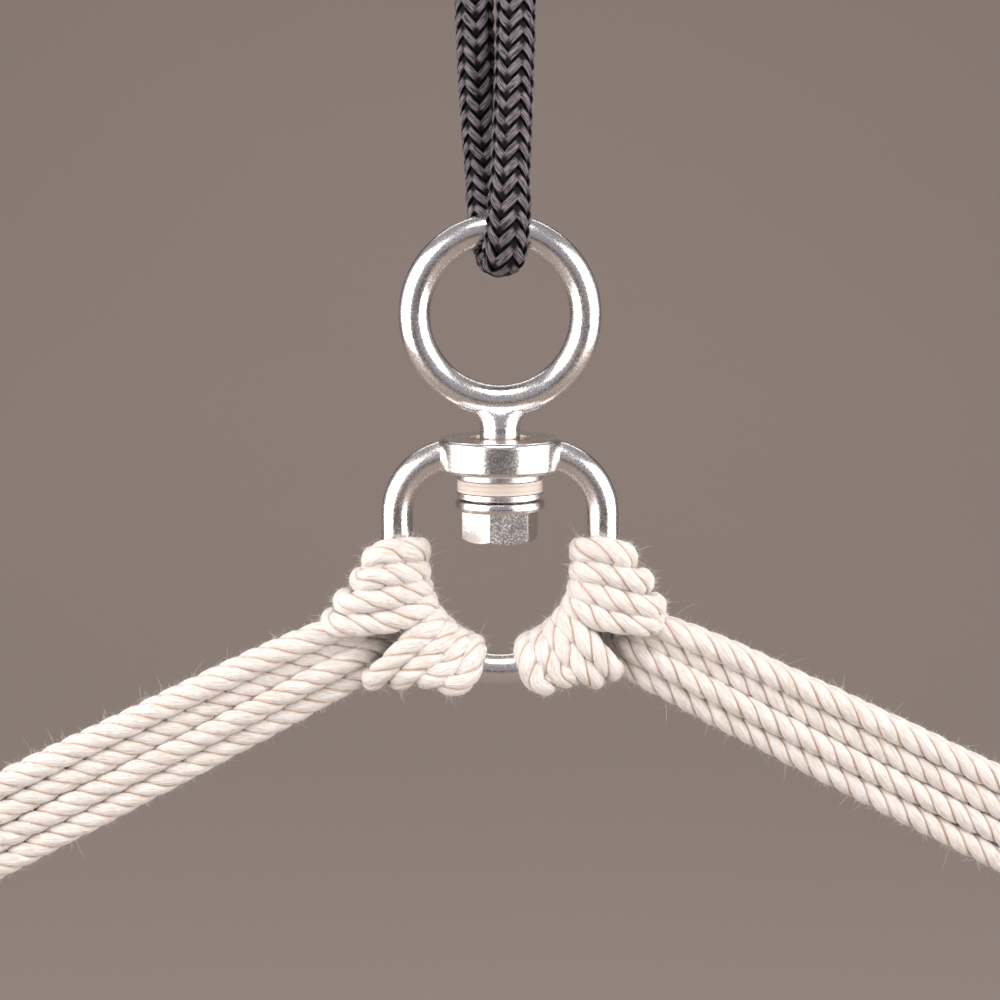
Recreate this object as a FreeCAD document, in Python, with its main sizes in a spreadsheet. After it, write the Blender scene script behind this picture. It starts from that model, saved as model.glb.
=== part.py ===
import FreeCAD, Part
import Sketcher
import math
import os

# Suspension of a hanging swing: a black sling over a hook, a steel swivel (ring eye, thrust
# bearing, closed bow) and two bundles of cotton strops hitched round the bow.
# +Z is up, the origin is the axis of the hook that the sling hangs on, lengths are in mm.

Vector = FreeCAD.Vector
DOC = FreeCAD.newDocument("swing_suspension")
SHEET = DOC.addObject("Spreadsheet::Sheet", "Sizes")
NODES = []

DIMENSIONS = [
    # sling
    ("sling_drop", 126, "hook axis down to the centre of the ring"),
    ("sling_dia", 10, "braided rope"),
    ("sleeve_low", 85, "lower end of the sleeve above the ring centre"),
    ("sleeve_long", 14, "length of the sleeve"),
    ("sleeve_wall", 1.4, "wall of the sleeve"),
    ("sleeve_left", 6.6, "rope leg left of the middle, in the sleeve"),
    ("sleeve_right", 4.2, "rope leg right of the middle, in the sleeve"),
    # eye
    ("ring_inner_dia", 34.5, "opening of the ring"),
    ("ring_wire_dia", 8, "wire of the ring"),
    ("shank_dia", 10, "shank and its thread"),
    ("neck_flare", 3.4, "how far the neck spreads where it joins the ring"),
    ("neck_tall", 4.6, "height of that flare"),
    # bow
    ("collar_drop", 30.5, "ring centre down to the top of the collar"),
    ("collar_dia", 30.75, "collar"),
    ("collar_tall", 8.5, "height of the collar"),
    ("collar_edge", 1.3, "rounding of the collar's edges"),
    ("bore_dia", 15.2, "bore of the collar"),
    ("bow_wire_dia", 8, "wire of the bow"),
    ("bow_span", 51.5, "between the centres of the bow's two legs"),
    ("shoulder_radius", 15, "bend from the collar down into a leg"),
    ("leg_long", 13.75, "straight length of a leg"),
    ("bush_recess", 0.7, "bush below the collar's top face"),
    ("shaft_gap", 0.06, "radial running clearance of the shank in its bush"),
    ("fit_gap", 0.03, "radial clearance of fixed fits"),
    # thrust bearing
    ("race_dia", 21.75, "both races"),
    ("race_bore_dia", 10.6, "bore of both races and the cage"),
    ("upper_race_tall", 1.75, "upper race"),
    ("lower_race_tall", 1.5, "lower race"),
    ("race_apart", 3.25, "between the races"),
    ("cage_dia", 21.3, "cage"),
    ("cage_gap", 0.12, "cage clear of each race"),
    ("ball_dia", 4, "bearing ball"),
    ("ball_circle_dia", 16, "circle through the balls' centres"),
    ("ball_count", 10, "balls"),
    ("ball_gap", 0.05, "ball clear of its groove and pocket"),
    # nut
    ("nut_face_dia", 18, "raised bearing face of the nut"),
    ("nut_face_tall", 0.25, "height of that face"),
    ("flange_dia", 22.5, "flange of the nut"),
    ("flange_tall", 3, "thickness of the flange"),
    ("nut_flats", 17, "width across the flats"),
    ("nut_hex_tall", 7.65, "height of the hexagon"),
    ("nut_turn", 15.2, "angle of one corner of the hexagon, from +X"),
    ("shank_short", 1.2, "shank end above the nut's lower face"),
    # strops
    ("strop_dia", 5.8, "three-strand cotton rope"),
    ("strop_gap", 0.3, "between neighbouring ropes"),
    ("bundle_x", 21.6, "where a bundle's axis meets the bow's wire, from the middle"),
    ("bundle_drop", 75.5, "the same, below the ring centre"),
    ("droop_left", 27.1, "slope of the left bundle"),
    ("droop_right", 26.4, "slope of the right bundle"),
    ("hitch_rise", 6.5, "hitch up the straight leg, above the lower arc"),
    ("hitch_sweep", 72, "hitch round the lower arc"),
    ("saddle_long", 20, "hitch along the bundle, from its axis point on the wire"),
    ("whip_start", 125, "whipping, from the same point"),
    ("whip_long", 16, "length of the whipping"),
    ("whip_wall", 1.5, "thickness of the whipping"),
    ("whip_gap", 0.4, "whipping clear of the ropes"),
    ("bundle_wide", 24.1, "four ropes side by side at the whipping"),
    ("bundle_deep", 11.9, "two ropes deep at the whipping"),
]

# Route of the sling from the sleeve round the ring, back up, round the hook and down again,
# measured from the ring's centre.
SLING_ROUTE = [
    (-6.6, 0, 92.5),
    (-6.6, 0, 79.5),
    (-4.6, 6.4, 44),
    (-2.0, 10.4, 11.95),
    (0.6, -10.4, 11.95),
    (2.7, -6.4, 44),
    (4.2, 0, 79.5),
    (4.2, 0, 106),
    (14.6, 0, 129.3),
    (1.0, 0, 140.9),
    (-14.0, 0, 131.2),
    (-6.6, 0, 106),
    (-6.6, 0, 93.5),
]

# Half routes of the strops along a bundle: distance out from the wire, then across the bundle.
OUTER_STROP = [(20.06, 7.92), (125, 9.15), (143, 9.15), (177.9, 19.8), (192, 0)]
INNER_STROP = [(20.06, 2.64), (125, 3.05), (143, 3.05), (175.5, 12.7), (184.5, 0)]

# Depth of each strop at the hitch, upper leg then lower leg, and all along the whipping.
STROPS = [
    ("strop_1", OUTER_STROP, -4.58, -1.53, -3.05),
    ("strop_2", INNER_STROP, -1.53, -4.58, -3.05),
    ("strop_3", INNER_STROP, 4.58, 1.53, 3.05),
    ("strop_4", OUTER_STROP, 1.53, 4.58, 3.05),
]


class Size:
    """A length or an angle: its value now, and the sheet formula that gives it."""

    def __init__(self, value, formula):
        self.value = value
        self.formula = formula

    def __add__(self, other):
        other = sized(other)
        return Size(self.value + other.value, f"({self.formula} + {other.formula})")

    def __sub__(self, other):
        other = sized(other)
        return Size(self.value - other.value, f"({self.formula} - {other.formula})")

    def __mul__(self, other):
        other = sized(other)
        return Size(self.value * other.value, f"({self.formula} * {other.formula})")

    def __truediv__(self, other):
        other = sized(other)
        return Size(self.value / other.value, f"({self.formula} / {other.formula})")

    def __neg__(self):
        return Size(-self.value, f"(0 - {self.formula})")

    __radd__ = __add__
    __rmul__ = __mul__


def sized(number):
    """A plain number as a Size."""
    return number if isinstance(number, Size) else Size(number, f"({number})")


def cosine(angle):
    return Size(math.cos(math.radians(angle.value)), f"cos({angle.formula} * 1 deg)")


def sine(angle):
    return Size(math.sin(math.radians(angle.value)), f"sin({angle.formula} * 1 deg)")


def fill_sheet():
    """One row per driving dimension: name, value with its alias, meaning."""
    for row, (alias, value, meaning) in enumerate(DIMENSIONS, start=1):
        SHEET.set(f"A{row}", alias)
        SHEET.set(f"B{row}", str(value))
        SHEET.setAlias(f"B{row}", alias)
        SHEET.set(f"C{row}", meaning)
    DOC.recompute()


def size(alias):
    return Size(float(SHEET.get(alias)), f"Sizes.{alias}")


def bind(thing, **sizes):
    """Tie properties of a thing to formulas of the sheet."""
    for name, value in sizes.items():
        thing.setExpression(name, sized(value).formula)


def place(thing, x=0, y=0, z=0, turns=()):
    """Put a thing at x, y, z; turns are (axis, angle), the last one made first."""
    spot = "; ".join(sized(value).formula for value in (x, y, z))
    rotation = "rotation(vector(0; 0; 1); 0)"
    for (ax, ay, az), angle in turns:
        rotation += f" * rotation(vector({ax}; {ay}; {az}); {sized(angle).formula})"
    thing.setExpression("Placement", f"placement(vector({spot}); {rotation})")
    return thing


ABOUT_X = (1, 0, 0)
ABOUT_Y = (0, 1, 0)
ABOUT_Z = (0, 0, 1)


def cylinder(name, radius, height):
    thing = DOC.addObject("Part::Cylinder", name)
    bind(thing, Radius=radius, Height=height)
    return thing


def cone(name, low_radius, high_radius, height):
    thing = DOC.addObject("Part::Cone", name)
    bind(thing, Radius1=low_radius, Radius2=high_radius, Height=height)
    return thing


def torus(name, ring_radius, tube_radius, sweep=360):
    thing = DOC.addObject("Part::Torus", name)
    bind(thing, Radius1=ring_radius, Radius2=tube_radius, Angle3=sweep)
    return thing


def box(name, length, width, height):
    thing = DOC.addObject("Part::Box", name)
    bind(thing, Length=length, Width=width, Height=height)
    return thing


def ellipse(name, major, minor):
    thing = DOC.addObject("Part::Ellipse", name)
    bind(thing, MajorRadius=major, MinorRadius=minor)
    return thing


def fuse(name, parts):
    thing = DOC.addObject("Part::MultiFuse", name)
    thing.Shapes = parts
    return thing


def cut(name, base, tools):
    thing = DOC.addObject("Part::Cut", name)
    thing.Base = base
    thing.Tool = tools[0] if len(tools) == 1 else fuse(f"{name}_tools", tools)
    return thing


def common(name, base, tool):
    thing = DOC.addObject("Part::Common", name)
    thing.Base = base
    thing.Tool = tool
    return thing


def node(thing, label):
    """Name a finished sub-part; the label is also the name of its file."""
    thing.Label = label
    NODES.append(thing)
    return thing


def plane_of(body, role):
    return next(f for f in body.Origin.OriginFeatures if f.Role == role)


def sketch_on(body, name, role):
    sketch = body.newObject("Sketcher::SketchObject", name)
    sketch.AttachmentSupport = [(plane_of(body, role), "")]
    sketch.MapMode = "FlatFace"
    return sketch


def constrain(sketch, kind, where, value):
    """A dimension of a sketch that follows the sheet."""
    index = sketch.addConstraint(Sketcher.Constraint(kind, *where, value.value))
    sketch.setExpression(f"Constraints[{index}]", value.formula)


def add_circle(sketch, radius, x=None):
    """A circle on the sketch's own axis, or x along its first axis."""
    spot = Vector(x.value if x else 0, 0, 0)
    index = sketch.addGeometry(Part.Circle(spot, Vector(0, 0, 1), radius.value), False)
    if x:
        sketch.addConstraint(Sketcher.Constraint("PointOnObject", index, 3, -1))
        constrain(sketch, "DistanceX", (-1, 1, index, 3), x)
    else:
        sketch.addConstraint(Sketcher.Constraint("Coincident", index, 3, -1, 1))
    constrain(sketch, "Radius", (index,), radius)


def add_rectangle(sketch, wide, deep):
    """A rectangle centred on the sketch's origin."""
    half_wide = wide / 2
    half_deep = deep / 2
    corners = []
    for x_sign, y_sign in ((-1, -1), (1, -1), (1, 1), (-1, 1)):
        corners.append(Vector(x_sign * half_wide.value, y_sign * half_deep.value, 0))
    lines = []
    for first, second in zip(corners, corners[1:] + corners[:1]):
        lines.append(sketch.addGeometry(Part.LineSegment(first, second), False))
    for line, following in zip(lines, lines[1:] + lines[:1]):
        sketch.addConstraint(Sketcher.Constraint("Coincident", line, 2, following, 1))
    for line, kind in zip(lines, ("Horizontal", "Vertical", "Horizontal", "Vertical")):
        sketch.addConstraint(Sketcher.Constraint(kind, line))
    centre = (lines[0], 1, lines[2], 1, -1, 1)
    sketch.addConstraint(Sketcher.Constraint("Symmetric", *centre))
    constrain(sketch, "DistanceX", (lines[0], 1, lines[0], 2), wide)
    constrain(sketch, "DistanceY", (lines[1], 1, lines[1], 2), deep)


def pad(body, sketch, length):
    feature = body.newObject("PartDesign::Pad", f"{body.Name}_pad")
    feature.Profile = sketch
    bind(feature, Length=length)
    DOC.recompute()
    return feature


def pocket_through(body, sketch):
    """Cut a sketch through the whole body, both ways."""
    before = body.Shape.Volume
    feature = body.newObject("PartDesign::Pocket", f"{body.Name}_pocket")
    feature.Profile = sketch
    feature.Type = "ThroughAll"
    feature.Midplane = True
    DOC.recompute()
    if body.Shape.Volume > 0.999 * before:
        raise ValueError(f"{feature.Name} cuts nothing")
    return feature


def fillet(body, base, edges, radius):
    feature = body.newObject("PartDesign::Fillet", f"{body.Name}_fillet")
    feature.Base = (base, edges)
    bind(feature, Radius=radius)
    DOC.recompute()
    return feature


def edges_where(shape, test):
    return [f"Edge{i}" for i, edge in enumerate(shape.Edges, start=1) if test(edge)]


# Heights, all measured from the hook's axis.
def ring_z():
    return -size("sling_drop")


def collar_z():
    """Top face of the collar."""
    return ring_z() - size("collar_drop")


def bearing_z():
    """Underside of the collar, where the upper race seats."""
    return collar_z() - size("collar_tall")


def ball_z():
    """Plane through the balls' centres."""
    return bearing_z() - size("upper_race_tall") - size("race_apart") / 2


def lower_race_z():
    """Underside of the lower race, where the nut seats."""
    return ball_z() - size("race_apart") / 2 - size("lower_race_tall")


def nut_low_z():
    return lower_race_z() - size("nut_face_tall") - size("flange_tall") - size("nut_hex_tall")


def shoulder_z():
    """Centre of the shoulder bends, and upper end of the bow's legs."""
    return collar_z() - size("collar_tall") / 2 - size("shoulder_radius")


def arc_z():
    """Centre of the bow's lower arc."""
    return shoulder_z() - size("leg_long")


def make_eye():
    """Ring, flared neck and shank in one piece; the shank is threaded for the nut."""
    ring_radius = (size("ring_inner_dia") + size("ring_wire_dia")) / 2
    wire_radius = size("ring_wire_dia") / 2
    shank_radius = size("shank_dia") / 2
    ring = place(torus("eye_ring", ring_radius, wire_radius), z=ring_z(), turns=[(ABOUT_X, 90)])
    neck_top = ring_z() - ring_radius - wire_radius / 2
    flare = size("neck_flare")
    tall = size("neck_tall")
    sections = []
    thinner = shank_radius - wire_radius * 0.85
    for name, share, spread, thin in (("low", 1, 0, 0), ("mid", 0.5, 0.2, 0.3), ("top", 0, 1, 1)):
        section = ellipse(f"eye_neck_{name}", shank_radius + flare * spread, shank_radius - thinner * thin)
        sections.append(place(section, z=neck_top - tall * share))
    neck = DOC.addObject("Part::Loft", "eye_neck")
    neck.Sections = sections
    neck.Solid = True
    tip = size("shank_short") / 2
    shank_low = nut_low_z() + size("shank_short") + tip
    shank = cylinder("eye_shank", shank_radius, neck_top - tall - shank_low)
    place(shank, z=shank_low)
    end = place(cone("eye_tip", shank_radius - tip, shank_radius, tip), z=shank_low - tip)
    head = fuse("eye_head", [ring, neck])
    stem = fuse("eye_stem", [shank, end])
    node(fuse("eye", [head, stem]), "eye")


def make_bow():
    """Collar with its bore, two shoulders, two straight legs and the lower half circle."""
    collar = DOC.addObject("PartDesign::Body", "collar")
    outline = sketch_on(collar, "collar_outline", "XY_Plane")
    add_circle(outline, size("collar_dia") / 2)
    blank = pad(collar, outline, size("collar_tall"))
    rims = edges_where(blank.Shape, lambda edge: edge.Closed)
    fillet(collar, blank, rims, size("collar_edge"))
    bore = sketch_on(collar, "collar_bore", "XY_Plane")
    add_circle(bore, size("bore_dia") / 2)
    pocket_through(collar, bore)
    place(collar, z=bearing_z())

    wire_radius = size("bow_wire_dia") / 2
    half_span = size("bow_span") / 2
    bend = size("shoulder_radius")
    parts = [collar]
    for name, side, start in (("right", 1, 0), ("left", -1, 90)):
        leg = cylinder(f"bow_leg_{name}", wire_radius, size("leg_long"))
        parts.append(place(leg, x=half_span * side, z=arc_z()))
        shoulder = torus(f"bow_shoulder_{name}", bend, wire_radius, 90)
        x = (half_span - bend) * side
        turns = [(ABOUT_X, 90), (ABOUT_Z, start)]
        parts.append(place(shoulder, x=x, z=shoulder_z(), turns=turns))
        # The wire runs on level from the shoulder into the collar.
        inside = (size("bore_dia") + size("collar_edge")) / 2
        root = cylinder(f"bow_root_{name}", wire_radius, half_span - bend - inside)
        turns = [(ABOUT_Z, start * 2), (ABOUT_Y, 90)]
        parts.append(place(root, x=inside * side, z=shoulder_z() + bend, turns=turns))
    lower = torus("bow_arc", half_span, wire_radius, 180)
    parts.append(place(lower, z=arc_z(), turns=[(ABOUT_X, 90), (ABOUT_Z, 180)]))
    node(fuse("bow", parts), "bow")


def make_collar_bush():
    """Plain bush that the shank turns in, pressed into the collar."""
    height = size("collar_tall") - size("bush_recess")
    outside = cylinder("bush_outside", size("bore_dia") / 2 - size("fit_gap"), height)
    inside = cylinder("bush_inside", size("shank_dia") / 2 + size("shaft_gap"), height)
    bush = cut("collar_bush", outside, [inside])
    node(place(bush, z=bearing_z()), "collar_bush")


def make_race(label, height, low_z, groove_z):
    """A flat race with a ball groove in the face towards the balls."""
    blank = place(cylinder(f"{label}_blank", size("race_dia") / 2, height), z=low_z)
    bore = place(cylinder(f"{label}_bore", size("race_bore_dia") / 2, height), z=low_z)
    groove_radius = size("ball_dia") / 2 + size("ball_gap")
    groove = torus(f"{label}_groove", size("ball_circle_dia") / 2, groove_radius)
    place(groove, z=groove_z)
    node(cut(label, blank, [bore, groove]), label)


def make_cage():
    """Ring between the races with one round pocket for each ball."""
    body = DOC.addObject("PartDesign::Body", "cage")
    outline = sketch_on(body, "cage_outline", "XY_Plane")
    add_circle(outline, size("cage_dia") / 2)
    add_circle(outline, size("race_bore_dia") / 2)
    height = size("race_apart") - 2 * size("cage_gap")
    pad(body, outline, height)
    hole = sketch_on(body, "cage_hole", "XY_Plane")
    add_circle(hole, size("ball_dia") / 2 + size("ball_gap"), size("ball_circle_dia") / 2)
    pocket = pocket_through(body, hole)
    ring = body.newObject("PartDesign::PolarPattern", "cage_pockets")
    ring.Originals = [pocket]
    ring.Axis = (hole, ["N_Axis"])
    ring.Angle = 360
    bind(ring, Occurrences=size("ball_count"))
    body.Tip = ring
    place(body, z=ball_z() - height / 2)
    node(body, "bearing_cage")


def make_balls():
    """The balls, evenly spaced on their circle."""
    count = int(size("ball_count").value)
    circle = size("ball_circle_dia") / 2
    balls = []
    for i in range(count):
        angle = sized(360 * i) / size("ball_count")
        ball = DOC.addObject("Part::Sphere", f"ball_{i + 1}")
        bind(ball, Radius=size("ball_dia") / 2)
        place(ball, x=circle * cosine(angle), y=circle * sine(angle), z=ball_z())
        balls.append(ball)
    group = DOC.addObject("Part::Compound", "balls")
    group.Links = balls
    node(group, "bearing_balls")


def make_nut():
    """Flanged hexagon nut: raised face, flange with a round rim, chamfered hexagon, bore."""
    hex_tall = size("nut_hex_tall")
    flange_low = nut_low_z() + hex_tall
    prism = DOC.addObject("Part::Prism", "nut_prism")
    prism.Polygon = 6
    bind(prism, Circumradius=size("nut_flats") / math.sqrt(3), Height=hex_tall)
    place(prism, z=nut_low_z(), turns=[(ABOUT_Z, size("nut_turn"))])
    low_radius = size("nut_flats") / 2
    slope = cone("nut_chamfer", low_radius, low_radius + hex_tall * 1.7, hex_tall)
    place(slope, z=nut_low_z())
    hexagon = common("nut_hexagon", prism, slope)
    rim_radius = size("flange_tall") / 2
    disc_radius = size("flange_dia") / 2 - rim_radius
    disc = place(cylinder("nut_disc", disc_radius, size("flange_tall")), z=flange_low)
    rim = place(torus("nut_rim", disc_radius, rim_radius), z=flange_low + rim_radius)
    face = cylinder("nut_face", size("nut_face_dia") / 2, size("nut_face_tall"))
    place(face, z=flange_low + size("flange_tall"))
    whole = fuse("nut_whole", [hexagon, disc, rim, face])
    bore_radius = size("shank_dia") / 2 + size("fit_gap")
    tall = hex_tall + size("flange_tall") + size("nut_face_tall")
    bore = place(cylinder("nut_bore", bore_radius, tall), z=nut_low_z())
    node(cut("nut", whole, [bore]), "flange_nut")


def cord_tube(name, route, diameter):
    """A soft tube: straight runs joined by tangent arcs as large as the runs allow."""
    points = [Vector(*point) for point in route]
    edges = []
    radii = []
    here = points[0]
    for before, corner, after in zip(points, points[1:], points[2:]):
        run_in = corner - before
        run_out = after - corner
        half_turn = run_in.getAngle(run_out) / 2
        reach = 0.45 * min(run_in.Length, run_out.Length)
        radius = reach / math.tan(half_turn)
        way_in = run_in.normalize()
        way_out = run_out.normalize()
        inward = (way_out - way_in).normalize()
        start = corner - way_in * reach
        end = corner + way_out * reach
        middle = corner + inward * (radius / math.cos(half_turn) - radius)
        edges.append(Part.LineSegment(here, start).toShape())
        edges.append(Part.Arc(start, middle, end).toShape())
        radii.append(round(radius, 1))
        here = end
    edges.append(Part.LineSegment(here, points[-1]).toShape())
    path = Part.Wire(edges)
    profile = Part.Wire(Part.makeCircle(diameter / 2, points[0], points[1] - points[0]))
    tube = path.makePipeShell([profile], True, False)
    expected = math.pi * diameter**2 / 4 * path.Length
    if abs(tube.Volume / expected - 1) > 0.01:
        raise ValueError(f"{name}: volume {tube.Volume:.0f}, expected {expected:.0f}")
    print(name, "length", round(path.Length, 1), "radii", radii)
    thing = DOC.addObject("Part::Feature", name)
    thing.Shape = tube
    return thing


def make_sling():
    """Endless black rope, hung over the hook and through the ring."""
    rope = cord_tube("sling_rope", SLING_ROUTE, size("sling_dia").value)
    rope.Placement = FreeCAD.Placement(Vector(0, 0, ring_z().value), FreeCAD.Rotation())
    node(rope, "sling_rope")


def make_sleeve():
    """Flat sleeve that binds both legs of the sling and covers its butted ends."""
    rope_radius = size("sling_dia") / 2
    outer_radius = rope_radius + size("sleeve_wall")
    long = size("sleeve_long")
    low = ring_z() + size("sleeve_low")
    skins = []
    bores = []
    for name, x in (("left", -size("sleeve_left")), ("right", size("sleeve_right"))):
        skins.append(place(cylinder(f"sleeve_{name}", outer_radius, long), x=x, z=low))
        bore = cylinder(f"sleeve_bore_{name}", rope_radius + size("fit_gap"), long)
        bores.append(place(bore, x=x, z=low))
    apart = size("sleeve_left") + size("sleeve_right")
    web = box("sleeve_web", apart, outer_radius * 2, long)
    skins.append(place(web, x=-size("sleeve_left"), y=-outer_radius, z=low))
    node(cut("sleeve", fuse("sleeve_whole", skins), bores), "sling_sleeve")


def side_turn(side):
    """Half a turn about Z for the left side, none for the right."""
    return (ABOUT_Z, 90 - 90 * side)


def bundle_turns(side, droop):
    """Turns that lay local X out along a bundle, and local Z across its rows."""
    return [side_turn(side), (ABOUT_Y, droop)]


def make_hitch(name, side, droop):
    """Outer shape of four strops hitched round the bow, and of the root of their bundle."""
    wire = size("bow_wire_dia") / 2 + size("fit_gap")
    outer = size("bow_wire_dia") / 2 + size("strop_dia") + size("strop_gap")
    half_span = size("bow_span") / 2
    sweep = size("hitch_sweep")
    arc_turns = [side_turn(side), (ABOUT_X, 90), (ABOUT_Z, -sweep)]
    straight = cylinder(f"{name}_straight", outer, size("hitch_rise"))
    place(straight, x=half_span * side, z=arc_z())
    bend = place(torus(f"{name}_bend", half_span, outer, sweep), z=arc_z(), turns=arc_turns)
    row_half = (size("strop_dia") + size("strop_gap")) * 2
    oval = ellipse(f"{name}_oval", row_half, row_half * 0.8)
    turns = bundle_turns(side, droop) + [(ABOUT_Y, 90)]
    drop = ring_z() - size("bundle_drop")
    place(oval, x=size("bundle_x") * side, z=drop, turns=turns)
    saddle = DOC.addObject("Part::Extrusion", f"{name}_saddle")
    saddle.Base = oval
    saddle.DirMode = "Custom"
    saddle.Solid = True
    outward = (cosine(droop) * side).formula
    downward = (-sine(droop)).formula
    saddle.setExpression("Dir", f"vector({outward}; 0; {downward})")
    bind(saddle, LengthFwd=size("saddle_long"))
    leg = cylinder(f"{name}_wire_leg", wire, size("leg_long"))
    place(leg, x=half_span * side, z=arc_z())
    arc = torus(f"{name}_wire_arc", half_span, wire, 90)
    arc_turns = [side_turn(side), (ABOUT_X, 90), (ABOUT_Z, -90)]
    place(arc, z=arc_z(), turns=arc_turns)
    whole = fuse(f"{name}_whole", [straight, bend, saddle])
    node(cut(f"{name}_solid", whole, [leg, arc]), name)


def strop_route(half_route, upper_depth, lower_depth, depth):
    """Out along the upper leg, round the rope eye and back along the lower leg."""
    upper = []
    for i, (out, across) in enumerate(half_route):
        upper.append((out, upper_depth if i == 0 else depth, across))
    lower = []
    for i, (out, across) in enumerate(half_route[:-1]):
        lower.append((out, lower_depth if i == 0 else depth, -across))
    return upper + lower[::-1]


def bundle_placement(side, droop):
    turn = FreeCAD.Rotation(Vector(0, 0, 1), 90 - 90 * side)
    slope = FreeCAD.Rotation(Vector(0, 1, 0), droop.value)
    spot = Vector(size("bundle_x").value * side, 0, ring_z().value - size("bundle_drop").value)
    return FreeCAD.Placement(spot, turn * slope)


def make_strops(name, side, droop):
    """Four endless strops: two leg lengths each, joined by a bend round the rope eye."""
    for strop, half_route, upper_depth, lower_depth, depth in STROPS:
        # The front strop keeps its place at the front on both sides.
        depths = [value * side for value in (upper_depth, lower_depth, depth)]
        route = strop_route(half_route, *depths)
        tube = cord_tube(f"{name}_{strop}", route, size("strop_dia").value)
        tube.Placement = bundle_placement(side, droop)
        node(tube, f"{name}_{strop}")


def make_whipping(name, side, droop):
    """Band of twine round all eight ropes, just before the rope eye."""
    body = DOC.addObject("PartDesign::Body", f"{name}_whipping_body")
    grow = 2 * (size("whip_wall") + size("whip_gap"))
    outline = sketch_on(body, f"{name}_whip_outline", "YZ_Plane")
    add_rectangle(outline, size("bundle_deep") + grow, size("bundle_wide") + grow)
    blank = pad(body, outline, size("whip_long"))
    along = edges_where(blank.Shape, lambda edge: abs(edge.tangentAt(0).x) > 0.9)
    fillet(body, blank, along, size("strop_dia") / 2 + size("whip_wall"))
    inside = sketch_on(body, f"{name}_whip_inside", "YZ_Plane")
    gap = 2 * size("whip_gap")
    add_rectangle(inside, size("bundle_deep") + gap, size("bundle_wide") + gap)
    pocket_through(body, inside)
    x = (size("bundle_x") + size("whip_start") * cosine(droop)) * side
    z = ring_z() - size("bundle_drop") - size("whip_start") * sine(droop)
    place(body, x=x, z=z, turns=bundle_turns(side, droop))
    node(body, f"{name}_whipping")


def check_and_write():
    """Refuse a failed feature or a bad solid, then write one file for each sub-part."""
    DOC.recompute()
    for thing in DOC.Objects:
        if "Invalid" in thing.State or "Error" in thing.State:
            raise ValueError(f"{thing.Name} failed: {thing.State}")
    os.makedirs("parts", exist_ok=True)
    for thing in NODES:
        shape = thing.Shape
        if shape.isNull() or not shape.isValid():
            raise ValueError(f"{thing.Label} has no valid shape")
        shape.exportStep(f"parts/{thing.Label}.step")
        print(thing.Label, "solids", len(shape.Solids), "volume", round(shape.Volume, 1))


def main():
    fill_sheet()
    make_sling()
    make_sleeve()
    make_eye()
    make_bow()
    make_collar_bush()
    groove_z = ball_z()
    upper_low = bearing_z() - size("upper_race_tall")
    make_race("bearing_upper_race", size("upper_race_tall"), upper_low, groove_z)
    make_cage()
    make_balls()
    make_race("bearing_lower_race", size("lower_race_tall"), lower_race_z(), groove_z)
    make_nut()
    for name, side in (("left", -1), ("right", 1)):
        droop = size(f"droop_{name}")
        make_hitch(f"{name}_hitch", side, droop)
        make_strops(name, side, droop)
        make_whipping(name, side, droop)
    check_and_write()


main()
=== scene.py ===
import math

import bpy
import numpy as np
from bpy.props import FloatProperty, FloatVectorProperty, IntProperty, PointerProperty
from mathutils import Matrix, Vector


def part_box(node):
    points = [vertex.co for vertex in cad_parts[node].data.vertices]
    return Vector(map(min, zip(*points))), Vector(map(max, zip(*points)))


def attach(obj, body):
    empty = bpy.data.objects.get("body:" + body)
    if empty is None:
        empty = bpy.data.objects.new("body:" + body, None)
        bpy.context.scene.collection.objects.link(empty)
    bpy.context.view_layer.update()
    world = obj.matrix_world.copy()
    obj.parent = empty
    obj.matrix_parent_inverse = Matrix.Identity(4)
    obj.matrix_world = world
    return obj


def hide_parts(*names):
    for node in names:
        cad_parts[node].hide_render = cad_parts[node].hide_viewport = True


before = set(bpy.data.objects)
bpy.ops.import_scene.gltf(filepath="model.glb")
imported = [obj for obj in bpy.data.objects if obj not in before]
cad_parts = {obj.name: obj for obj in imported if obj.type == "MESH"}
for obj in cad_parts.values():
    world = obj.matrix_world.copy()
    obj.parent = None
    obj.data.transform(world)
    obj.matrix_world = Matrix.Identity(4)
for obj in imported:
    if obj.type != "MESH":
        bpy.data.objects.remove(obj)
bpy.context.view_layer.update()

# Suspension of a hanging swing: a braided sling, a steel ball-bearing swivel and two bundles of
# cotton strops hitched round its bow. +Z is up and -Y is the front.

bl_info = {
    "name": "Swing Suspension Swivel",
    "version": (1, 0, 0),
    "blender": (4, 5, 0),
    "location": "View3D > Sidebar > Swing",
    "description": "Models a rope sling, a ball-bearing swivel and the strops hitched to its bow",
    "category": "Add Mesh",
}

MM = 0.001


def heights(node):
    """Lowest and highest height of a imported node, in millimetres."""
    return [corner[2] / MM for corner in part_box(node)]


def half_width(node):
    """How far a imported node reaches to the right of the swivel's axis, in millimetres."""
    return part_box(node)[1][0] / MM


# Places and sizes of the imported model.
RING_RADIUS = half_width("eye")
RING_Z = heights("eye")[1] - RING_RADIUS
BOW_HALF = half_width("bow")
UPPER_RACE = heights("bearing_upper_race")
LOWER_RACE = heights("bearing_lower_race")
RACE_RADIUS = half_width("bearing_upper_race")
CAGE = heights("bearing_cage")
CAGE_RADIUS = half_width("bearing_cage")
NUT = heights("flange_nut")
FLANGE_RADIUS = half_width("flange_nut")
SLEEVE = heights("sling_sleeve")


# ---------------------------------------------------------------- settings


def length_setting(name, description, millimetres):
    """A length that a user may change."""
    return FloatProperty(
        name=name, description=description, default=millimetres * MM, unit="LENGTH"
    )


def colour_setting(name, description, default):
    """A colour that a user may change."""
    return FloatVectorProperty(
        name=name, description=description, default=default, subtype="COLOR"
    )


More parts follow.
